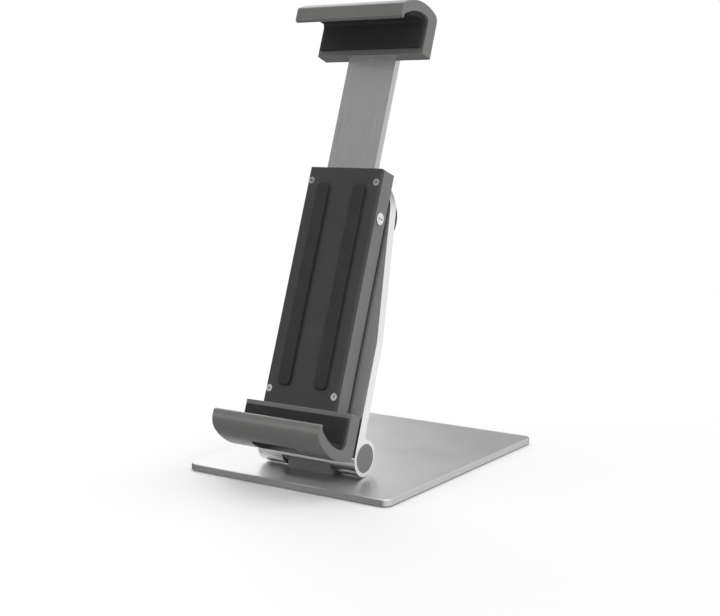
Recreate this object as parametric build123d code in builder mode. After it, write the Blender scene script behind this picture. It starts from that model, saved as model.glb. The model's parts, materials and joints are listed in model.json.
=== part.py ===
from build123d import *
import math
import os

os.makedirs("parts", exist_ok=True)

# Base plate and its pad. Z is up, the front faces -Y, z = 0 is the table.
plate_width = 155.0
plate_depth = 190.0
plate_thick = 4.0
plate_corner = 5.5
plate_chamfer = 0.4
pad_thick = 1.0
pad_inset = 4.0
pad_corner = 3.0

# Tilt hinge: a tube that turns on a shaft held by a block on the plate.
lean = 20.0
tube_radius = 11.6
tube_wall = 2.4
tube_length = 76.2
tube_gap = 0.6
hinge_setback = 35.3
tilt_forward = 20.0
tilt_back = 50.0
plate_top = pad_thick + plate_thick
axis_y = hinge_setback - plate_depth / 2
axis_z = plate_top + tube_gap + tube_radius
bore_radius = tube_radius - tube_wall

# Clearances that the fits are tied to.
running_gap = 0.05
moving_gap = 0.4
screw_gap = 0.05
swivel_gap = 0.7
stack_gap = 0.1
overcut = 1.0

# Hinge block, shaft and friction stack.
block_width = 36.0
window_gap = 0.9
neck_front = 7.1
neck_back = 4.9
neck_round = 2.0
shaft_radius = 4.0
shaft_stand = 1.0
shaft_chamfer = 0.5
boss_radius = bore_radius - moving_gap
window_half = block_width / 2 + window_gap
washer_radius = 8.4
washer_thick = 1.2
cone_radius = 8.0
cone_sheet = 0.6
cone_rise = 0.5
nut_across = 13.0
nut_thick = 4.5
cap_disc = 2.0
cap_recess = 0.2
cap_collar = 2.5
cap_wall = 1.3
cap_chamfer = 0.3
cap_room = 0.6

# Arm: the tube and a flat plate drawn as one section.
arm_thick = 7.0
arm_shoulder = 72.0
hub_height = 155.0
hub_round = 29.0
arm_fillet = 3.0

# Turning hub.
spindle_radius = 7.0
spindle_square = 26.0
spindle_flange = 2.2
spindle_tail = 17.5
hub_bush_wall = 1.5
hub_bush_flange = 14.0
hub_washer_radius = 16.0
hub_washer_thick = 1.5
hub_cone_step = 1.0
hub_cone_rise = 0.8
spindle_nut_across = 22.0
spindle_nut_thick = 6.0
cover_radius = 24.0
cover_depth = 14.0
cover_wall = 2.0
cover_round = 5.0
ball_radius = 2.0
ball_circle = 20.0
ball_pocket = 6.0
ball_pocket_gap = 0.1
dimple_depth = 0.6
spring_wire = 0.35
spring_pitch = 0.8
spring_gap = 0.2

# Spine: a channel with a cover that turns in front of the arm.
spine_half = 28.0
spine_back = tube_radius + swivel_gap
spine_floor = 3.6
spine_wall = 5.0
spine_bottom = 24.0
spine_over_hub = 26.0
spine_top = hub_height + spine_over_hub
spine_end = 5.0
foot_bottom = 2.0
spine_round = 2.0
foot_thick = 6.1
wall_thick = 10.1
jaw_back = spine_back + foot_thick
wall_front = jaw_back + wall_thick
cover_plate = 3.0
cover_front_round = 1.2
grip_width = 9.0
grip_centre = 14.0
grip_low = 36.0
grip_end_gap = 11.0
grip_high = spine_top - grip_end_gap
grip_corner = 3.0
grip_round = 0.8
liner_thick = 2.2
channel_front = wall_front - cover_plate
floor_front = spine_back + spine_floor
cavity_half = spine_half - spine_wall

# Jaws: one section, used the right way up and mirrored.
jaw_half = 41.2
jaw_radius = 41.0
jaw_wall = 7.0
jaw_arc_ahead = 4.5
jaw_reach = 26.7
jaw_arc_centre = wall_front + jaw_arc_ahead
jaw_front = jaw_arc_centre + jaw_reach
lip_thick = 3.0
lip_height = 19.1
lip_outer_round = 2.1
lip_inner_round = 0.8
throat_round = 4.0
heel_round = 5.0
lower_nose_round = 11.0
upper_nose_round = 1.5
jaw_end_round = 0.6
lower_apex = -6.0
upper_apex = 289.0
upper_wall = 31.0
liner_half = 39.0
liner_reach = 17.0
liner_front = jaw_arc_centre + liner_reach
liner_wall = 27.0
slot_half = 17.5
slot_reach = 14.6
slot_front = jaw_arc_centre + slot_reach
slot_top = 8.0
slot_round = 4.0

# Slide bar with its guides and lock.
bar_half = 18.5
bar_thick = 5.0
bar_pocket = 18.0
bar_corner = 3.0
bar_middle = jaw_back + bar_thick / 2
guide_lip = 3.0
guide_gap = 0.1
guide_below_hub = 35.0
guide_end_gap = 1.0
guide_low = hub_height - guide_below_hub
guide_high = spine_top - guide_end_gap
bar_overrun = 4.0
bar_bottom = guide_low - bar_overrun
shoe_height = 10.0
shoe_thick = 2.0
lock_below_hub = 5.0
lock_height = hub_height - lock_below_hub
lock_side_gap = 0.2
lock_collar_step = 0.5
lock_cam_step = 1.2
lock_collar = channel_front - bar_middle - lock_side_gap
lock_radius = lock_collar - lock_collar_step
lock_collar_thick = 1.4
lock_stand = 0.8
lock_cam = lock_collar - lock_cam_step
lock_cam_offset = 0.4
key_slot_long = 5.0
key_slot_wide = 1.2
key_slot_deep = 2.0

# Countersunk screws: shank radius, head radius, length.
m4 = (2.0, 4.0, 12.0)
m4_short = (2.0, 4.0, 8.5)
m4_block = (2.0, 4.0, 10.0)
m25 = (1.25, 2.3, 9.0)
drive_depth = 1.4
drive_radius = 0.65
sink_angle = 90
block_screw_x = 10.0
cover_screw_x = 25.3
cover_screw_edge = 9.0
cover_screw_low = spine_bottom + cover_screw_edge
cover_screw_high = spine_top - cover_screw_edge
foot_screw_x = 22.0
foot_screw_rows = (7.5, 18.0)
bar_screw_x = 11.0
bar_screw_down = 22.0
short_overcut = 0.5

cos_lean = math.cos(math.radians(lean))
sin_lean = math.sin(math.radians(lean))
outward = (0, -cos_lean, sin_lean)
inward = (0, cos_lean, -sin_lean)
upward = (0, sin_lean, cos_lean)


def spot(x, front, up):
    """Point x across, front ahead of the tube's axis and up along the lean."""
    return (
        x,
        axis_y - front * cos_lean + up * sin_lean,
        axis_z + front * sin_lean + up * cos_lean,
    )


def side_plane(up=0.0):
    """Section plane: local x runs to the front, local y up the lean."""
    return Plane(origin=spot(0, 0, up), x_dir=outward, z_dir=(-1, 0, 0))


def side_plane_down(up):
    """Section plane with local y running down the lean."""
    return Plane(origin=spot(0, 0, up), x_dir=outward, z_dir=(1, 0, 0))


def face_plane(front):
    """Plane facing the user: local x across, local y up the lean."""
    return Plane(origin=spot(0, front, 0), x_dir=(1, 0, 0), z_dir=outward)


def rear_plane(x, front, up):
    """Plane at a point, facing the back."""
    return Plane(origin=spot(x, front, up), x_dir=(1, 0, 0), z_dir=inward)


def front_plane(x, front, up):
    """Plane at a point, facing the user."""
    return Plane(origin=spot(x, front, up), x_dir=(1, 0, 0), z_dir=outward)


def rise_plane(up):
    """Plane whose normal runs up the lean: local x across, local y to the back."""
    return Plane(origin=spot(0, 0, up), x_dir=(1, 0, 0), z_dir=upward)


def shaft_plane(x):
    """Upright plane across the hinge shaft."""
    return Plane(origin=(x, axis_y, axis_z), x_dir=(0, 1, 0), z_dir=(1, 0, 0))


def along_shaft():
    """Upright plane that holds the hinge shaft's axis."""
    return Plane(origin=(0, axis_y, axis_z), x_dir=(1, 0, 0), z_dir=(0, -1, 0))


shaft_axis = Axis((0, axis_y, axis_z), (1, 0, 0))
hub_axis = Axis(spot(0, 0, hub_height), outward)
front_axis = Axis(spot(0, 0, 0), outward)
rise_axis = Axis(spot(0, 0, 0), upward)


def near(shape, point, reach=0.05):
    """Vertices of a sketch that lie at a point."""
    target = Vector(*point)
    return shape.vertices().filter_by(lambda v: (Vector(*v) - target).length < reach)


def save(piece, name):
    piece.part.label = name
    export_step(piece.part, f"parts/{name}.step")


def screws(places, size):
    """Countersunk screws, heads flush with the given planes."""
    shank, head, length = size
    with BuildPart() as group:
        for place in places:
            with Locations(place):
                Cone(shank, head, head - shank, align=(Align.CENTER, Align.CENTER, Align.MAX))
                Cylinder(shank, length, align=(Align.CENTER, Align.CENTER, Align.MAX))
            with BuildSketch(place):
                RegularPolygon(shank * drive_radius, 6)
            extrude(amount=-drive_depth, mode=Mode.SUBTRACT)
    return group


def sink(places, size, depth):
    """Countersunk clearance holes for the screws above."""
    shank, head, length = size
    with Locations(*places):
        CounterSinkHole(shank + screw_gap, head + screw_gap, depth, sink_angle)


# Places where screws go.
neck_middle = (neck_back - neck_front) / 2
block_places = [
    Plane(origin=(x, axis_y + neck_middle, pad_thick), x_dir=(1, 0, 0), z_dir=(0, 0, -1))
    for x in (-block_screw_x, block_screw_x)
]
cover_places = [
    front_plane(x, wall_front, up)
    for x in (-cover_screw_x, cover_screw_x)
    for up in (cover_screw_low, cover_screw_high)
]
foot_places = [
    rear_plane(x, spine_back, up)
    for x in (-foot_screw_x, foot_screw_x)
    for up in foot_screw_rows
]
bar_places = [
    rear_plane(x, jaw_back, upper_apex - bar_screw_down)
    for x in (-bar_screw_x, bar_screw_x)
]


# Base.
with BuildPart() as base_plate:
    with BuildSketch(Plane.XY.offset(pad_thick)):
        RectangleRounded(plate_width, plate_depth, plate_corner)
    extrude(amount=plate_thick)
    chamfer(base_plate.edges().group_by(Axis.Z)[-1], plate_chamfer)
    sink(block_places, m4_block, plate_thick)
save(base_plate, "base_plate")

with BuildPart() as foot_pad:
    with BuildSketch():
        RectangleRounded(plate_width - 2 * pad_inset, plate_depth - 2 * pad_inset, pad_corner)
    extrude(amount=pad_thick)
save(foot_pad, "foot_pad")

with BuildPart() as hinge_block:
    with BuildSketch(shaft_plane(0)):
        Circle(boss_radius)
        with Locations((neck_middle, (plate_top - axis_z) / 2)):
            Rectangle(neck_front + neck_back, axis_z - plate_top)
        Circle(shaft_radius, mode=Mode.SUBTRACT)
    extrude(amount=block_width / 2, both=True)
    fillet(hinge_block.edges().filter_by(Axis.Z).group_by(Axis.Y)[0], neck_round)
    with Locations(*[place.offset(-plate_thick) for place in block_places]):
        Hole(m4_block[0] + screw_gap, m4_block[2] - plate_thick + overcut)
save(hinge_block, "hinge_block")
save(screws(block_places, m4_block), "block_screws")

shaft_half = tube_length / 2 - cap_recess - cap_disc - cap_room
nut_start = shaft_half - shaft_stand - nut_thick
cone_start = nut_start - stack_gap - cone_rise - cone_sheet
washer_start = cone_start - washer_thick
bush_start = window_half
bush_length = washer_start - stack_gap - bush_start

with BuildPart() as hinge_shaft:
    with BuildSketch(shaft_plane(0)):
        Circle(shaft_radius)
    extrude(amount=shaft_half, both=True)
    for end in (0, -1):
        chamfer(hinge_shaft.edges().group_by(Axis.X)[end], shaft_chamfer)
save(hinge_shaft, "hinge_shaft")

for side, way in (("left", -1), ("right", 1)):
    with BuildPart() as tube_bush:
        with BuildSketch(shaft_plane(way * bush_start)):
            Circle(bore_radius)
            Circle(shaft_radius + running_gap, mode=Mode.SUBTRACT)
        extrude(amount=way * bush_length)
    save(tube_bush, f"tube_bush_{side}")

    with BuildPart() as friction_washer:
        with BuildSketch(shaft_plane(way * washer_start)):
            Circle(washer_radius)
            Circle(shaft_radius + running_gap, mode=Mode.SUBTRACT)
        extrude(amount=way * washer_thick)
    save(friction_washer, f"friction_washer_{side}")

    with BuildPart() as cone_spring:
        with BuildSketch(along_shaft()):
            with BuildLine():
                Polyline(
                    (way * cone_start, cone_radius),
                    (way * (cone_start + cone_sheet), cone_radius),
                    (way * (cone_start + cone_sheet + cone_rise), shaft_radius + running_gap),
                    (way * (cone_start + cone_rise), shaft_radius + running_gap),
                    close=True,
                )
            make_face()
        revolve(axis=shaft_axis)
    save(cone_spring, f"cone_spring_{side}")

    with BuildPart() as shaft_nut:
        with BuildSketch(shaft_plane(way * nut_start)):
            RegularPolygon(nut_across / 2, 6, major_radius=False)
            Circle(shaft_radius, mode=Mode.SUBTRACT)
        extrude(amount=way * nut_thick)
    save(shaft_nut, f"shaft_nut_{side}")

    cap_outer = way * (tube_length / 2 - cap_recess)
    with BuildPart() as end_cap:
        with BuildSketch(shaft_plane(cap_outer)):
            Circle(bore_radius)
        extrude(amount=-way * (cap_disc + cap_collar))
        with BuildSketch(shaft_plane(cap_outer - way * cap_disc)):
            Circle(bore_radius - cap_wall)
        extrude(amount=-way * cap_collar, mode=Mode.SUBTRACT)
        chamfer(end_cap.edges().group_by(Axis.X)[-1 if way > 0 else 0], cap_chamfer)
    save(end_cap, f"end_cap_{side}")

# Arm. The window clears the block from upright to fully leant back.
front_edge = math.degrees(math.acos((neck_front + moving_gap) / bore_radius))
back_edge = math.degrees(math.acos((neck_back + moving_gap) / bore_radius))
window_start = -lean - (front_edge - tilt_forward)
window_end = -lean - 180 + back_edge - tilt_back
arm_back = tube_radius - arm_thick

with BuildPart() as arm:
    with BuildSketch(side_plane()) as arm_section:
        Circle(tube_radius)
        with Locations((arm_back + arm_thick / 2, (hub_height + hub_round) / 2)):
            Rectangle(arm_thick, hub_height + hub_round)
        root = (arm_back, math.sqrt(tube_radius**2 - arm_back**2))
        fillet(near(arm_section.sketch_local, root), arm_fillet)
        Circle(bore_radius, mode=Mode.SUBTRACT)
    extrude(amount=tube_length / 2, both=True)
    with BuildSketch(face_plane(-tube_radius - overcut)):
        with Locations((0, (arm_shoulder - tube_radius - overcut) / 2)):
            Rectangle(tube_length, arm_shoulder + tube_radius + overcut)
        with Locations((0, hub_height)):
            Circle(hub_round)
        make_hull()
    extrude(amount=2 * (tube_radius + overcut), mode=Mode.INTERSECT)
    with BuildSketch(side_plane()):
        with BuildLine():
            rim = CenterArc((0, 0), tube_radius + overcut, window_end, window_start - window_end)
            Line((0, 0), rim @ 0)
            Line((0, 0), rim @ 1)
        make_face()
    extrude(amount=window_half, both=True, mode=Mode.SUBTRACT)
    with BuildSketch(face_plane(tube_radius)):
        with Locations((0, hub_height)):
            Circle(spindle_radius + running_gap + hub_bush_wall)
    extrude(amount=-arm_thick, mode=Mode.SUBTRACT)
    with BuildSketch(face_plane(tube_radius)):
        with Locations((0, hub_height - ball_circle), (0, hub_height + ball_circle)):
            Circle(ball_radius + ball_pocket_gap)
    extrude(amount=-ball_pocket, mode=Mode.SUBTRACT)
save(arm, "arm")

with BuildPart() as hub_bush:
    with BuildSketch(face_plane(tube_radius - arm_thick)):
        with Locations((0, hub_height)):
            Circle(spindle_radius + running_gap + hub_bush_wall)
    extrude(amount=arm_thick)
    with BuildSketch(face_plane(tube_radius)):
        with Locations((0, hub_height)):
            Circle(hub_bush_flange)
    extrude(amount=swivel_gap - stack_gap)
    with BuildSketch(face_plane(tube_radius + swivel_gap)):
        with Locations((0, hub_height)):
            Circle(spindle_radius + running_gap)
    extrude(amount=-arm_thick - swivel_gap, mode=Mode.SUBTRACT)
save(hub_bush, "hub_bush")

with BuildPart() as hub_cover:
    with BuildSketch(face_plane(arm_back)):
        with Locations((0, hub_height)):
            Circle(cover_radius)
    extrude(amount=-cover_depth)
    fillet(hub_cover.edges().sort_by(front_axis)[0], cover_round)
    with BuildSketch(face_plane(arm_back)):
        with Locations((0, hub_height)):
            Circle(cover_radius - cover_wall)
    extrude(amount=cover_wall - cover_depth, mode=Mode.SUBTRACT)
save(hub_cover, "hub_cover")

ball_front = spine_back - running_gap - ball_radius
spring_length = ball_front - ball_radius - (tube_radius - ball_pocket) - 2 * spring_gap
for place, way in (("lower", -1), ("upper", 1)):
    height = hub_height + way * ball_circle
    with BuildPart() as detent_ball:
        with Locations(spot(0, ball_front, height)):
            Sphere(ball_radius)
    save(detent_ball, f"detent_ball_{place}")

    coil_back = tube_radius - ball_pocket + spring_gap + spring_wire / 2
    coil_radius = ball_radius - spring_wire / 2 - ball_pocket_gap
    with BuildPart() as detent_spring:
        with BuildLine() as coil:
            Helix(
                spring_pitch,
                spring_length - spring_wire,
                coil_radius,
                center=spot(0, coil_back, height),
                direction=outward,
            )
        with BuildSketch(Plane(origin=coil.line @ 0, z_dir=coil.line % 0)):
            Circle(spring_wire / 2)
        sweep()
    save(detent_spring, f"detent_spring_{place}")

# Head: the spine turns on the spindle.
with BuildPart() as spine_housing:
    with BuildSketch(face_plane(spine_back)):
        with Locations((0, (spine_bottom + spine_top) / 2)):
            Rectangle(2 * spine_half, spine_top - spine_bottom)
    extrude(amount=channel_front - spine_back)
    long_edges = spine_housing.edges().filter_by(rise_axis).sort_by(front_axis)
    fillet(long_edges[:2], spine_round)
    with BuildSketch(face_plane(channel_front)):
        with Locations((0, (spine_bottom + spine_end + spine_top + overcut) / 2)):
            Rectangle(2 * cavity_half, spine_top + overcut - spine_bottom - spine_end)
    extrude(amount=floor_front - channel_front, mode=Mode.SUBTRACT)
    with BuildSketch(face_plane(spine_back)):
        with Locations((0, (foot_bottom + spine_bottom) / 2)):
            Rectangle(2 * spine_half, spine_bottom - foot_bottom)
    extrude(amount=jaw_back - spine_back)
    with BuildSketch(face_plane(floor_front)):
        with Locations((0, hub_height)):
            Rectangle(spindle_square, spindle_square)
    extrude(amount=-spindle_flange, mode=Mode.SUBTRACT)
    with BuildSketch(face_plane(floor_front)):
        with Locations((0, hub_height)):
            Circle(spindle_radius)
    extrude(amount=-spine_floor, mode=Mode.SUBTRACT)
    for turn in range(4):
        across = ball_circle * math.sin(math.radians(90 * turn))
        rise = ball_circle * math.cos(math.radians(90 * turn))
        dimple = ball_radius + ball_pocket_gap
        with Locations(spot(across, spine_back + dimple_depth - dimple, hub_height + rise)):
            Sphere(dimple, mode=Mode.SUBTRACT)
    with BuildSketch(side_plane()):
        with Locations((bar_middle, lock_height)):
            Circle(lock_radius + running_gap)
    extrude(amount=-spine_half, mode=Mode.SUBTRACT)
    with Locations(*[place.offset(-cover_plate) for place in cover_places]):
        Hole(m25[0] + screw_gap, m25[2] - cover_plate + overcut)
    sink(foot_places, m4, jaw_back - spine_back)
save(spine_housing, "spine_housing")

with BuildPart() as spine_cover:
    with BuildSketch(face_plane(channel_front)):
        with Locations((0, (spine_bottom + spine_top) / 2)):
            Rectangle(2 * spine_half, spine_top - spine_bottom)
    extrude(amount=cover_plate)
    long_edges = spine_cover.edges().filter_by(rise_axis).sort_by(front_axis)
    fillet(long_edges[-2:], cover_front_round)
    sink(cover_places, m25, cover_plate)
save(spine_cover, "spine_cover")
save(screws(cover_places, m25), "cover_screws")

for side, way in (("left", -1), ("right", 1)):
    with BuildPart() as grip_strip:
        with BuildSketch(face_plane(wall_front)):
            with Locations((way * grip_centre, (grip_low + grip_high) / 2)):
                RectangleRounded(grip_width, grip_high - grip_low, grip_corner)
        extrude(amount=liner_thick)
        fillet(grip_strip.faces().sort_by(front_axis)[-1].edges(), grip_round)
    save(grip_strip, f"grip_strip_{side}")

with BuildPart() as spindle:
    with BuildSketch(face_plane(floor_front)):
        with Locations((0, hub_height)):
            Rectangle(spindle_square, spindle_square)
    extrude(amount=-spindle_flange)
    with BuildSketch(face_plane(floor_front - spindle_flange)):
        with Locations((0, hub_height)):
            Circle(spindle_radius)
    extrude(amount=-spindle_tail)
save(spindle, "spindle")

with BuildPart() as hub_washer:
    with BuildSketch(face_plane(arm_back - stack_gap)):
        with Locations((0, hub_height)):
            Circle(hub_washer_radius)
            Circle(spindle_radius, mode=Mode.SUBTRACT)
    extrude(amount=-hub_washer_thick)
save(hub_washer, "hub_washer")

hub_cone_front = arm_back - stack_gap - hub_washer_thick
with BuildPart() as hub_cone_spring:
    with BuildSketch(side_plane()):
        with BuildLine():
            Polyline(
                (hub_cone_front, hub_height + hub_washer_radius - hub_cone_step),
                (hub_cone_front - cone_sheet, hub_height + hub_washer_radius - hub_cone_step),
                (hub_cone_front - cone_sheet - hub_cone_rise, hub_height + spindle_radius),
                (hub_cone_front - hub_cone_rise, hub_height + spindle_radius),
                close=True,
            )
        make_face()
    revolve(axis=hub_axis)
save(hub_cone_spring, "hub_cone_spring")

hub_nut_front = hub_cone_front - cone_sheet - hub_cone_rise
with BuildPart() as spindle_nut:
    with BuildSketch(face_plane(hub_nut_front)):
        with Locations((0, hub_height)):
            RegularPolygon(spindle_nut_across / 2, 6, major_radius=False)
            Circle(spindle_radius, mode=Mode.SUBTRACT)
    extrude(amount=-spindle_nut_thick)
save(spindle_nut, "spindle_nut")

# Guides for the slide bar: one above and one below the lock on each side.
shoe_low = lock_height - shoe_height / 2
shoe_high = lock_height + shoe_height / 2
for row, low, high in (("lower", guide_low, shoe_low), ("upper", shoe_high, guide_high)):
    for side, way in (("left", -1), ("right", 1)):
        with BuildPart() as bar_guide:
            with BuildSketch(rise_plane(low)):
                with Locations((way * (cavity_half + bar_half - guide_lip) / 2,
                                -(floor_front + channel_front) / 2)):
                    Rectangle(cavity_half - bar_half + guide_lip, channel_front - floor_front)
                with Locations((way * (bar_half + guide_gap - guide_lip), -bar_middle)):
                    Rectangle(2 * guide_lip, bar_thick + 2 * guide_gap, mode=Mode.SUBTRACT)
            extrude(amount=high - low)
        save(bar_guide, f"bar_guide_{row}_{side}")

with BuildPart() as lock_shoe:
    with BuildSketch(rise_plane(shoe_low)):
        with Locations((bar_half + guide_gap + shoe_thick / 2, -(floor_front + channel_front) / 2)):
            Rectangle(shoe_thick, channel_front - floor_front)
    extrude(amount=shoe_height)
save(lock_shoe, "lock_shoe")

# Lock barrel: turned by a key from the spine's right side.
cam_start = bar_half + guide_gap + shoe_thick + guide_gap
collar_start = cavity_half - stack_gap - lock_collar_thick
lock_end = spine_half + lock_stand
with BuildPart() as lock_barrel:
    with BuildSketch(side_plane().offset(-collar_start)):
        with Locations((bar_middle, lock_height)):
            Circle(lock_radius)
    extrude(amount=collar_start - lock_end)
    with BuildSketch(side_plane().offset(-collar_start)):
        with Locations((bar_middle, lock_height)):
            Circle(lock_collar)
    extrude(amount=-lock_collar_thick)
    with BuildSketch(side_plane().offset(-cam_start)):
        with Locations((bar_middle + lock_cam_offset, lock_height)):
            Circle(lock_cam)
    extrude(amount=cam_start - collar_start)
    with BuildSketch(side_plane().offset(-lock_end)):
        with Locations((bar_middle, lock_height)):
            Rectangle(key_slot_long, key_slot_wide)
    extrude(amount=key_slot_deep, mode=Mode.SUBTRACT)
save(lock_barrel, "lock_barrel")


def arc_height(radius, front):
    """Height above the apex of a circle round the jaw's centre, at a given front."""
    return jaw_radius - math.sqrt(radius**2 - (front - jaw_arc_centre) ** 2)


def jaw(plane, wall_height, nose_round):
    """Jaw section: local x to the front, local y away from the jaw's outer face."""
    inner = jaw_radius - jaw_wall
    lip_inner = jaw_front - lip_thick
    heel = (jaw_back, arc_height(jaw_radius, jaw_back))
    nose = (jaw_front, arc_height(jaw_radius, jaw_front))
    throat = (lip_inner, arc_height(inner, lip_inner))
    corner = (wall_front, arc_height(inner, wall_front))
    with BuildPart() as body:
        with BuildSketch(plane) as section:
            with BuildLine():
                Line((jaw_back, wall_height), heel)
                ThreePointArc(heel, (jaw_arc_centre, 0), nose)
                Line(nose, (jaw_front, lip_height))
                Line((jaw_front, lip_height), (lip_inner, lip_height))
                Line((lip_inner, lip_height), throat)
                ThreePointArc(throat, (jaw_arc_centre, jaw_wall), corner)
                Line(corner, (wall_front, wall_height))
                Line((wall_front, wall_height), (jaw_back, wall_height))
            make_face()
            rounds = (
                (heel, heel_round),
                (nose, nose_round),
                (corner, throat_round),
                ((jaw_front, lip_height), lip_outer_round),
                ((lip_inner, lip_height), lip_inner_round),
            )
            for point, radius in rounds:
                fillet(near(section.sketch_local, point), radius)
        extrude(amount=jaw_half, both=True)
        fillet(body.faces().filter_by(Axis.X).edges(), jaw_end_round)
    return body


def liner(plane):
    """Rubber lining of a jaw's floor and back wall."""
    outer = jaw_radius - jaw_wall
    inner = outer - liner_thick
    reach = math.asin(liner_reach / outer)
    far = (liner_front, arc_height(outer, liner_front))
    near_edge = (jaw_arc_centre + inner * math.sin(reach), jaw_radius - inner * math.cos(reach))
    corner = (wall_front, arc_height(outer, wall_front))
    face = wall_front + liner_thick
    root_point = (face, arc_height(inner, face))
    with BuildPart() as body:
        with BuildSketch(plane) as section:
            with BuildLine():
                Line((wall_front, liner_wall), corner)
                ThreePointArc(corner, (jaw_arc_centre, jaw_wall), far)
                Line(far, near_edge)
                ThreePointArc(near_edge, (jaw_arc_centre, jaw_wall + liner_thick), root_point)
                Line(root_point, (face, liner_wall))
                Line((face, liner_wall), (wall_front, liner_wall))
            make_face()
            fillet(near(section.sketch_local, corner), throat_round)
            fillet(near(section.sketch_local, root_point), throat_round - liner_thick)
        extrude(amount=liner_half, both=True)
    return body


# Lower jaw with its cable slot.
with BuildPart() as cable_slot:
    with BuildSketch(rise_plane(lower_apex - overcut)) as slot_outline:
        with Locations((0, -(wall_front + slot_front) / 2)):
            Rectangle(2 * slot_half, slot_front - wall_front)
        fillet(slot_outline.vertices().group_by(Axis.Y)[0], slot_round)
    extrude(amount=slot_top - lower_apex + overcut)

lower_body = jaw(side_plane(lower_apex), spine_bottom - lower_apex, lower_nose_round)
with BuildPart() as lower_jaw:
    add(lower_body.part)
    add(cable_slot.part, mode=Mode.SUBTRACT)
    with Locations(*[place.offset(spine_back - jaw_back) for place in foot_places]):
        Hole(m4[0] + screw_gap, m4[2] - (jaw_back - spine_back) + overcut)
save(lower_jaw, "lower_jaw")
save(screws(foot_places, m4), "lower_jaw_screws")

lower_lining = liner(side_plane(lower_apex))
with BuildPart() as lower_liner:
    add(lower_lining.part)
    add(cable_slot.part, mode=Mode.SUBTRACT)
save(lower_liner, "lower_jaw_liner")

# Upper jaw on its slide bar.
upper_body = jaw(side_plane_down(upper_apex), upper_wall, upper_nose_round)
pocket_top = upper_apex - upper_wall + bar_pocket
with BuildPart() as upper_jaw:
    add(upper_body.part)
    with BuildSketch(face_plane(jaw_back)):
        with Locations((0, pocket_top - bar_pocket / 2)):
            Rectangle(2 * bar_half, bar_pocket)
    extrude(amount=bar_thick, mode=Mode.SUBTRACT)
    with Locations(*[place.offset(-bar_thick) for place in bar_places]):
        Hole(m4_short[0] + screw_gap, m4_short[2] - bar_thick + short_overcut)
save(upper_jaw, "upper_jaw")
save(liner(side_plane_down(upper_apex)), "upper_jaw_liner")

with BuildPart() as slide_bar:
    with BuildSketch(face_plane(jaw_back)) as bar_outline:
        with Locations((0, (bar_bottom + pocket_top) / 2)):
            Rectangle(2 * bar_half, pocket_top - bar_bottom)
        fillet(bar_outline.vertices().group_by(Axis.Y)[0], bar_corner)
    extrude(amount=bar_thick)
    sink(bar_places, m4_short, bar_thick)
save(slide_bar, "slide_bar")
save(screws(bar_places, m4_short), "upper_jaw_screws")
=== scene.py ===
import json
import math

import bpy
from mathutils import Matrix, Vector

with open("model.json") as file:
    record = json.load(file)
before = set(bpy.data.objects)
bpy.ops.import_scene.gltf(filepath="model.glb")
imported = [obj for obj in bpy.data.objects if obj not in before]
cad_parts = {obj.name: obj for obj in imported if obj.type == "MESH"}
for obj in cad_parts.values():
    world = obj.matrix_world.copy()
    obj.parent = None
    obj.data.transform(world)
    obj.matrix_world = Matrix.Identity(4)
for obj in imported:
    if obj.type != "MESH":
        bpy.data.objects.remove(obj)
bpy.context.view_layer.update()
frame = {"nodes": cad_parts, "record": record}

scene = bpy.context.scene
cadNodes = frame["nodes"]
leanAngle = math.radians(20)  # how far the arm and the head lean back at rest


# Camera

cameraLook = {
    "place": (0.4822, -0.7268, 0.2292),
    "pitch": 81.73,
    "turn": 33.87,
    "lens": 65.56,
    "film": 36.0,
    "near": 0.01,
    "far": 50.0,
}

lensData = bpy.data.cameras.new("standCamera")
lensData.lens = cameraLook["lens"]
lensData.sensor_width = cameraLook["film"]
lensData.clip_start = cameraLook["near"]
lensData.clip_end = cameraLook["far"]
camera = bpy.data.objects.new("standCamera", lensData)
camera.location = cameraLook["place"]
camera.rotation_euler = (math.radians(cameraLook["pitch"]), 0, math.radians(cameraLook["turn"]))
scene.collection.objects.link(camera)
scene.camera = camera
print("camera placed")


# Shader wiring

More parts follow.
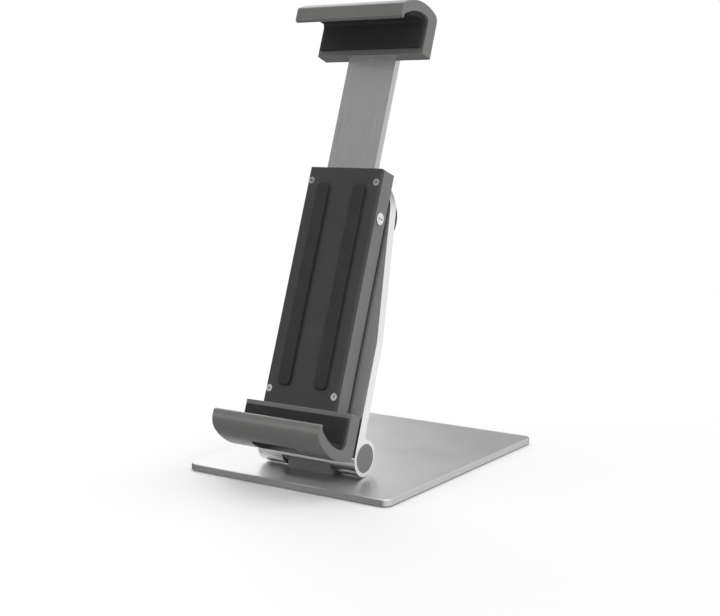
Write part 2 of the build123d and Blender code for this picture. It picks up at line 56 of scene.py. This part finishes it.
class Wire:
    # one socket in a node tree; arithmetic on it adds Math nodes
    def __init__(self, tree, socket=None):
        self.tree = tree
        self.socket = socket

    def node(self, kind, settings=None, sockets=None, out=0):
        made = self.tree.nodes.new(kind)
        for name, value in (settings or {}).items():
            setattr(made, name, value)
        for name, value in (sockets or {}).items():
            if isinstance(value, Wire):
                self.tree.links.new(value.socket, made.inputs[name])
            else:
                made.inputs[name].default_value = value
        return Wire(self.tree, made.outputs[out] if len(made.outputs) else None)

    def maths(self, operation, *values):
        return self.node("ShaderNodeMath", {"operation": operation}, dict(enumerate(values)))

    def __add__(self, other):
        return self.maths("ADD", self, other)

    def __radd__(self, other):
        return self.maths("ADD", other, self)

    def __sub__(self, other):
        return self.maths("SUBTRACT", self, other)

    def __rsub__(self, other):
        return self.maths("SUBTRACT", other, self)

    def __mul__(self, other):
        return self.maths("MULTIPLY", self, other)

    def __rmul__(self, other):
        return self.maths("MULTIPLY", other, self)

    def ranged(self, low, high, fromLow=0.0, fromHigh=1.0):
        return self.node("ShaderNodeMapRange", {"clamp": True}, {
            "Value": self, "From Min": fromLow, "From Max": fromHigh,
            "To Min": low, "To Max": high,
        })

    def shades(self, dark, light):
        # this value as the factor between two colours; sockets 0, 6 and 7 are the factor, A and B
        return self.node("ShaderNodeMix", {"data_type": "RGBA"}, {
            0: self, 6: (*dark, 1), 7: (*light, 1),
        }, out=2)

    def over(self, under, colour):
        # lays a colour over another one, by this value
        return self.node("ShaderNodeMix", {"data_type": "RGBA"}, {
            0: self, 6: under, 7: (*colour, 1),
        }, out=2)

    def stretched(self, x, y, z):
        return self.node("ShaderNodeVectorMath", {"operation": "MULTIPLY"}, {0: self, 1: (x, y, z)})

    def axis(self, name):
        return self.node("ShaderNodeSeparateXYZ", None, {"Vector": self}, out=name)

    def noise(self, scale, detail=3.0, roughness=0.5):
        return self.node("ShaderNodeTexNoise", {"noise_dimensions": "3D"}, {
            "Vector": self, "Scale": scale, "Detail": detail, "Roughness": roughness,
        })

    def bumped(self, distance, strength=1.0):
        return self.node("ShaderNodeBump", None, {
            "Height": self, "Distance": distance, "Strength": strength,
        })


def placeOnPiece(tree):
    return tree.node("ShaderNodeTexCoord", out="Object")


def alongLean(place):
    # turns the place so that its z runs up the leaning head
    return place.node("ShaderNodeVectorRotate", {"rotation_type": "X_AXIS"}, {
        "Vector": place, "Angle": leanAngle,
    })


def slotShadeMask(tree, slot):
    # 1 on the cut walls of the cable slot, where painted shade goes; nothing else of the jaw lies in
    # that block
    moved = tree.node("ShaderNodeVectorMath", {"operation": "SUBTRACT"}, {
        0: placeOnPiece(tree), 1: slot["from"],
    })
    straight = alongLean(moved)
    x, y, z = (straight.axis(name) for name in "XYZ")
    across = x.maths("ABSOLUTE", x)
    soft = slot["soft"]
    inWidth = across.ranged(1.0, 0.0, slot["half"], slot["half"] + soft)
    behindFront = y.ranged(0.0, 1.0, -slot["front"] - soft, -slot["front"])
    aheadOfBack = y.ranged(1.0, 0.0, -slot["back"], -slot["back"] + soft)
    low = z.ranged(1.0, 0.0, slot["top"], slot["top"] + soft)
    return inWidth * behindFront * aheadOfBack * low


edgeSpan = {"samples": 4, "starts": 0.004, "full": 0.12}


def edgeMask(tree, radius):
    # 1 at arrises, 0 on open faces
    rounded = tree.node("ShaderNodeBevel", {"samples": edgeSpan["samples"]}, {"Radius": radius})
    plain = tree.node("ShaderNodeNewGeometry", out="Normal")
    facing = tree.node("ShaderNodeVectorMath", {"operation": "DOT_PRODUCT"}, {
        0: rounded, 1: plain,
    }, out="Value")
    return (1 - facing).ranged(0.0, 1.0, edgeSpan["starts"], edgeSpan["full"])


def finished(name, build, look):
    material = bpy.data.materials.new(name)
    material.use_nodes = True
    material.node_tree.nodes.clear()
    tree = Wire(material.node_tree)
    surface = build(tree, look)
    tree.node("ShaderNodeOutputMaterial", None, {"Surface": surface})
    return material


def coatNodes(names, material):
    for name in names:
        piece = cadNodes[name]
        if not piece.material_slots:
            piece.data.materials.append(material)
        for slot in piece.material_slots:
            slot.material = material


# Metals

brushing = {
    "scratchSpan": (0.62, 0.72),  # only the peaks of the noise are scratches
    "noiseSpan": (0.3, 0.7),
    "grainShare": 0.7,
    "cloudShare": 0.3,
    "arrisWear": 0.5,
    "cloudRough": 0.02,
    "arrisShine": 0.05,
    "scratchShine": 0.04,
    "scratchDeep": 0.4,
}


def brushedMetal(tree, look):
    place = placeOnPiece(tree)
    if look["leans"]:
        place = alongLean(place)
    span = brushing["noiseSpan"]
    grain = place.stretched(*look["grain"]).noise(1.0, detail=4.0, roughness=0.65)
    scratch = place.stretched(*look["scratch"]).noise(1.0, detail=2.0)
    scratch = scratch.ranged(0.0, 1.0, *brushing["scratchSpan"])
    cloud = place.noise(look["cloudScale"], roughness=0.55)
    edge = edgeMask(tree, look["edge"])
    tint = (grain * brushing["grainShare"] + cloud * brushing["cloudShare"]).ranged(0.0, 1.0, *span)
    colour = (edge * brushing["arrisWear"]).over(tint.shades(look["dark"], look["light"]), look["arris"])
    roughness = (grain.ranged(look["smooth"], look["rough"], *span)
                 + cloud.ranged(-brushing["cloudRough"], brushing["cloudRough"], *span)
                 - edge * brushing["arrisShine"] - scratch * brushing["scratchShine"])
    height = grain + scratch * brushing["scratchDeep"]
    return tree.node("ShaderNodeBsdfPrincipled", None, {
        "Base Color": colour, "Metallic": 1.0, "Roughness": roughness,
        "Normal": height.bumped(look["depth"]),
    })


plateLook = {
    "leans": False,
    "grain": (130, 11000, 11000),
    "scratch": (50, 5200, 5200),
    "cloudScale": 22,
    "edge": 0.0006,
    "dark": (0.58, 0.58, 0.585),
    "light": (0.64, 0.64, 0.635),
    "arris": (0.84, 0.84, 0.84),
    "smooth": 0.34,
    "rough": 0.39,
    "depth": 0.0000003,
}
coatNodes(["base_plate"], finished("plateSteel", brushedMetal, plateLook))

armLook = {
    "leans": False,
    "grain": (70, 4600, 4600),
    "scratch": (30, 2300, 2300),
    "cloudScale": 30,
    "edge": 0.0006,
    "dark": (0.78, 0.78, 0.785),
    "light": (0.85, 0.85, 0.85),
    "arris": (0.92, 0.92, 0.92),
    "smooth": 0.17,
    "rough": 0.24,
    "depth": 0.0000015,
}
coatNodes(["arm"], finished("armAluminium", brushedMetal, armLook))

barLook = {
    "leans": True,
    "grain": (2600, 2600, 26),
    "scratch": (900, 900, 8),
    "cloudScale": 30,
    "edge": 0.0006,
    "dark": (0.42, 0.42, 0.43),
    "light": (0.54, 0.54, 0.545),
    "arris": (0.66, 0.66, 0.66),
    "smooth": 0.24,
    "rough": 0.34,
    "depth": 0.000006,
}
coatNodes(["slide_bar", "hub_washer", "friction_washer_left", "friction_washer_right"],
          finished("barSteel", brushedMetal, barLook))


plating = {
    "colourSpan": (0.25, 0.7),
    "roughSpan": (0.3, 0.7),
    "filmShare": 0.6,
    "spangleShare": 0.4,
    "arrisWear": 0.6,
    "arrisShine": 0.04,
    "spangleDeep": 0.5,
}


def platedMetal(tree, look):
    place = placeOnPiece(tree)
    spangle = place.node("ShaderNodeTexVoronoi", {"feature": "F1"}, {
        "Vector": place, "Scale": look["spangle"],
    })
    film = place.noise(look["filmScale"], detail=4.0, roughness=0.6)
    edge = edgeMask(tree, look["edge"])
    tint = film * plating["filmShare"] + spangle * plating["spangleShare"]
    tint = tint.ranged(0.0, 1.0, *plating["colourSpan"])
    colour = (edge * plating["arrisWear"]).over(tint.shades(look["dark"], look["light"]), look["arris"])
    roughness = (film.ranged(look["smooth"], look["rough"], *plating["roughSpan"])
                 - edge * plating["arrisShine"])
    height = film + spangle * plating["spangleDeep"]
    return tree.node("ShaderNodeBsdfPrincipled", None, {
        "Base Color": colour, "Metallic": 1.0, "Roughness": roughness,
        "Normal": height.bumped(look["depth"]),
    })


screwLook = {
    "spangle": 1800,
    "filmScale": 420,
    "edge": 0.0003,
    "dark": (0.36, 0.36, 0.37),
    "light": (0.5, 0.5, 0.5),
    "arris": (0.7, 0.7, 0.7),
    "smooth": 0.22,
    "rough": 0.36,
    "depth": 0.00001,
}
coatNodes([
    "block_screws", "hinge_shaft", "cone_spring_left", "cone_spring_right",
    "shaft_nut_left", "shaft_nut_right", "detent_ball_lower", "detent_ball_upper",
    "detent_spring_lower", "detent_spring_upper", "cover_screws", "lower_jaw_screws",
    "upper_jaw_screws", "spindle", "hub_cone_spring", "spindle_nut",
], finished("screwZinc", platedMetal, screwLook))

brassLook = {
    "spangle": 900,
    "filmScale": 260,
    "edge": 0.0003,
    "dark": (0.6, 0.42, 0.19),
    "light": (0.75, 0.56, 0.28),
    "arris": (0.85, 0.68, 0.4),
    "smooth": 0.2,
    "rough": 0.32,
    "depth": 0.000008,
}
coatNodes(["lock_shoe"], finished("shoeBrass", platedMetal, brassLook))

lockLook = {
    "spangle": 2600,
    "filmScale": 300,
    "edge": 0.0003,
    "dark": (0.62, 0.62, 0.64),
    "light": (0.74, 0.74, 0.75),
    "arris": (0.85, 0.85, 0.86),
    "smooth": 0.08,
    "rough": 0.16,
    "depth": 0.000003,
}
coatNodes(["lock_barrel"], finished("lockChrome", platedMetal, lockLook))
print("metals done")


# Painted castings

coating = {
    "fleckSpan": (0.05, 0.4),
    "colourSpan": (0.3, 0.7),
    "roughSpan": (0.35, 0.65),
    "cloudShare": 0.6,
    "fleckShare": 0.4,
    "arrisShine": 0.06,
    "fleckDeep": 0.25,
    "lacquerRough": 0.2,
}


def powderCoat(tree, look):
    place = placeOnPiece(tree)
    peel = place.noise(look["peelScale"], detail=2.0)
    fleck = place.node("ShaderNodeTexVoronoi", {"feature": "F1"}, {
        "Vector": place, "Scale": look["fleckScale"],
    }).ranged(1.0, 0.0, *coating["fleckSpan"])
    cloud = place.noise(look["cloudScale"])
    edge = edgeMask(tree, look["edge"])
    tint = cloud * coating["cloudShare"] + fleck * coating["fleckShare"]
    tint = tint.ranged(0.0, 1.0, *coating["colourSpan"])
    colour = (edge * look["wear"]).over(tint.shades(look["dark"], look["light"]), look["worn"])
    # painted shade: darkens the cut walls inside the cable slot, where shade falls
    if "slot" in look:
        colour = slotShadeMask(tree, look["slot"]).over(colour, look["slot"]["colour"])
    roughness = (peel.ranged(look["smooth"], look["rough"], *coating["roughSpan"])
                 - edge * coating["arrisShine"])
    height = peel + fleck * coating["fleckDeep"]
    return tree.node("ShaderNodeBsdfPrincipled", None, {
        "Base Color": colour, "Roughness": roughness,
        "Normal": height.bumped(look["depth"]), "Specular IOR Level": look["sheen"],
        "Coat Weight": look["lacquer"], "Coat Roughness": coating["lacquerRough"],
    })


jawLook = {
    "peelScale": 1100,
    "fleckScale": 2600,
    "cloudScale": 60,
    "edge": 0.0008,
    "dark": (0.108, 0.108, 0.105),
    "light": (0.138, 0.138, 0.134),
    "worn": (0.26, 0.26, 0.25),
    "wear": 0.45,
    "smooth": 0.36,
    "rough": 0.48,
    "depth": 0.00003,
    "sheen": 0.5,
    "lacquer": 0.3,
}
coatNodes(["upper_jaw", "spine_housing"], finished("jawPaint", powderCoat, jawLook))

tiltJoint = next(
    joint for joint in frame["record"]["behaviour"]["joints"] if joint["name"] == "tilt"
)
# painted shade on the cut walls of the lower jaw's cable slot
slotShadeLook = {
    "from": tiltJoint["pos_m"],  # the rest is measured from the tilt hinge, square to the lean
    "half": 0.0175,
    "back": 0.0284,
    "front": 0.0477,
    "top": 0.0082,
    "soft": 0.0002,
    "colour": (0.03, 0.03, 0.03),  # painted shade: the cut walls inside the cable slot are darkened as if in deep shade
}
# the lower jaw's paint, with painted shade inside the cable slot
coatNodes(["lower_jaw"], finished("lowerJawPaintAndSlotShade", powderCoat, {**jawLook, "slot": slotShadeLook}))

blockLook = {
    "peelScale": 1300,
    "fleckScale": 2800,
    "cloudScale": 80,
    "edge": 0.0006,
    "dark": (0.13, 0.13, 0.131),
    "light": (0.165, 0.165, 0.165),
    "worn": (0.22, 0.22, 0.22),
    "wear": 0.4,
    "smooth": 0.34,
    "rough": 0.46,
    "depth": 0.000025,
    "sheen": 0.5,
    "lacquer": 0.2,
}
coatNodes(["hinge_block"], finished("blockPaint", powderCoat, blockLook))
print("paint done")


# Plastics and rubber

moulding = {
    "leatherSpan": (0.0, 0.25),
    "colourSpan": (0.2, 0.8),
    "roughSpan": (0.3, 0.7),
    "cloudShare": 0.5,
    "leatherShare": 0.5,
    "arrisShine": 0.08,
    "glowReach": 0.001,
}


def mouldedPlastic(tree, look):
    place = placeOnPiece(tree)
    leather = place.node("ShaderNodeTexVoronoi", {"feature": "DISTANCE_TO_EDGE"}, {
        "Vector": place, "Scale": look["grainScale"],
    }).ranged(0.0, 1.0, *moulding["leatherSpan"])
    fine = place.noise(look["fineScale"], roughness=0.6)
    cloud = place.noise(look["cloudScale"], detail=2.0)
    edge = edgeMask(tree, look["edge"])
    tint = cloud * moulding["cloudShare"] + leather * moulding["leatherShare"]
    tint = tint.ranged(0.0, 1.0, *moulding["colourSpan"])
    colour = (edge * look["wear"]).over(tint.shades(look["dark"], look["light"]), look["worn"])
    roughness = (fine.ranged(look["smooth"], look["rough"], *moulding["roughSpan"])
                 - edge * moulding["arrisShine"])
    height = leather * look["leather"] + fine * (1 - look["leather"])
    return tree.node("ShaderNodeBsdfPrincipled", None, {
        "Base Color": colour, "Roughness": roughness,
        "Normal": height.bumped(look["depth"]), "Specular IOR Level": look["sheen"],
        "Subsurface Weight": look["glow"], "Subsurface Radius": (moulding["glowReach"],) * 3,
    })


capLook = {
    "grainScale": 2200,
    "fineScale": 1700,
    "cloudScale": 90,
    "edge": 0.0004,
    "dark": (0.155, 0.152, 0.152),
    "light": (0.195, 0.19, 0.19),
    "worn": (0.3, 0.3, 0.3),
    "wear": 0.3,
    "smooth": 0.46,
    "rough": 0.6,
    "leather": 0.3,
    "depth": 0.00002,
    "sheen": 0.4,
    "glow": 0.0,
}
coatNodes(["end_cap_left", "end_cap_right"], finished("capPlastic", mouldedPlastic, capLook))

coverLook = {
    "grainScale": 1500,
    "fineScale": 2600,
    "cloudScale": 50,
    "edge": 0.0006,
    "dark": (0.022, 0.022, 0.023),
    "light": (0.036, 0.036, 0.037),
    "worn": (0.07, 0.07, 0.07),
    "wear": 0.35,
    "smooth": 0.42,
    "rough": 0.58,
    "leather": 0.6,
    "depth": 0.00004,
    "sheen": 0.45,
    "glow": 0.0,
}
coatNodes(["spine_cover", "hub_cover"], finished("coverPlastic", mouldedPlastic, coverLook))

rubberLook = {
    "grainScale": 2400,
    "fineScale": 1900,
    "cloudScale": 70,
    "edge": 0.0005,
    "dark": (0.02, 0.02, 0.02),
    "light": (0.032, 0.032, 0.031),
    "worn": (0.06, 0.058, 0.056),
    "wear": 0.3,
    "smooth": 0.72,
    "rough": 0.86,
    "leather": 0.25,
    "depth": 0.00005,
    "sheen": 0.3,
    "glow": 0.0,
}
coatNodes([
    "foot_pad", "grip_strip_left", "grip_strip_right", "lower_jaw_liner", "upper_jaw_liner",
], finished("padRubber", mouldedPlastic, rubberLook))

nylonLook = {
    "grainScale": 900,
    "fineScale": 1400,
    "cloudScale": 120,
    "edge": 0.0005,
    "dark": (0.68, 0.67, 0.62),
    "light": (0.8, 0.79, 0.75),
    "worn": (0.85, 0.84, 0.8),
    "wear": 0.3,
    "smooth": 0.38,
    "rough": 0.5,
    "leather": 0.1,
    "depth": 0.00001,
    "sheen": 0.5,
    "glow": 0.15,
}
coatNodes([
    "tube_bush_left", "tube_bush_right", "hub_bush", "bar_guide_lower_left",
    "bar_guide_lower_right", "bar_guide_upper_left", "bar_guide_upper_right",
], finished("bushNylon", mouldedPlastic, nylonLook))
print("plastics done")


# Floor, light and air

floorLook = {
    "half": 2.0,
    "colour": (0.82, 0.82, 0.82, 1),
    "roughness": 0.7,
    "sheen": 0.2,
    "fadeFrom": 0.45,
    "fadeTo": 1.5,
}

floorMesh = bpy.data.meshes.new("studioFloor")
reach = floorLook["half"]
floorMesh.from_pydata(
    [(-reach, -reach, 0), (reach, -reach, 0), (reach, reach, 0), (-reach, reach, 0)],
    [], [(0, 1, 2, 3)],
)
studioFloor = bpy.data.objects.new("studioFloor", floorMesh)
scene.collection.objects.link(studioFloor)


def paleFloor(tree, look):
    # the floor fades into the white air, so no horizon shows
    place = placeOnPiece(tree)
    away = tree.node("ShaderNodeVectorMath", {"operation": "LENGTH"}, {0: place}, out="Value")
    surface = tree.node("ShaderNodeBsdfPrincipled", None, {
        "Base Color": look["colour"], "Roughness": look["roughness"],
        "Specular IOR Level": look["sheen"],
    })
    fade = away.ranged(0.0, 1.0, look["fadeFrom"], look["fadeTo"])
    return tree.node("ShaderNodeMixShader", None, {
        0: fade * fade * (3 - 2 * fade),
        1: surface, 2: tree.node("ShaderNodeBsdfTransparent"),
    })


floorMesh.materials.append(finished("paleFloor", paleFloor, floorLook))
# out of reflections, so the plate's front edge stays as dark as the unlit side of the studio
studioFloor.visible_glossy = False

softboxes = {
    "backLeftBox": {"place": (-1.7, 1.27, 1.0), "wide": 1.5, "high": 2.0, "power": 11.0},
    "topBox": {"place": (-0.2, 0.1, 1.8), "wide": 2.4, "high": 2.4, "power": 15.0},
    "frontLeftStrip": {"place": (-1.12, -1.6, 0.36), "wide": 1.3, "high": 0.5, "power": 4.8},
}
lampTarget = Vector((0, 0, 0.12))  # the middle of the stand
for name, box in softboxes.items():
    lightData = bpy.data.lights.new(name, "AREA")
    lightData.shape = "RECTANGLE"
    lightData.size = box["wide"]
    lightData.size_y = box["high"]
    lightData.energy = box["power"]
    lamp = bpy.data.objects.new(name, lightData)
    lamp.location = box["place"]
    aim = lampTarget - Vector(box["place"])
    lamp.rotation_euler = aim.to_track_quat("-Z", "Y").to_euler()
    scene.collection.objects.link(lamp)

airLook = {
    "low": 0.21,
    "rise": 0.6,
    "right": 0.88,  # a bright wall to the right
    "rightFrom": 0.1,
    "rightTo": 0.55,
    "underfoot": 0.45,  # what is left of that wall's light below the floor line
    "underFrom": -0.55,
    "underTo": -0.2,
    "backdrop": 1.0,
}
air = bpy.data.worlds.new("studioAir")
scene.world = air
air.use_nodes = True
air.node_tree.nodes.clear()
sky = Wire(air.node_tree)
direction = sky.node("ShaderNodeTexCoord", out="Generated")
toRight = direction.axis("X")
height = direction.axis("Z")
up = height.ranged(0.0, 1.0)
wall = (toRight.ranged(0.0, airLook["right"], airLook["rightFrom"], airLook["rightTo"])
        * height.ranged(airLook["underfoot"], 1.0, airLook["underFrom"], airLook["underTo"]))
glow = up * airLook["rise"] + wall + airLook["low"]
seen = sky.node("ShaderNodeLightPath", out="Is Camera Ray")
strength = seen * airLook["backdrop"] + (1 - seen) * glow
lit = sky.node("ShaderNodeBackground", None, {"Color": (1, 1, 1, 1), "Strength": strength})
sky.node("ShaderNodeOutputWorld", None, {"Surface": lit})
scene.view_settings.view_transform = "Standard"
print("studio done")
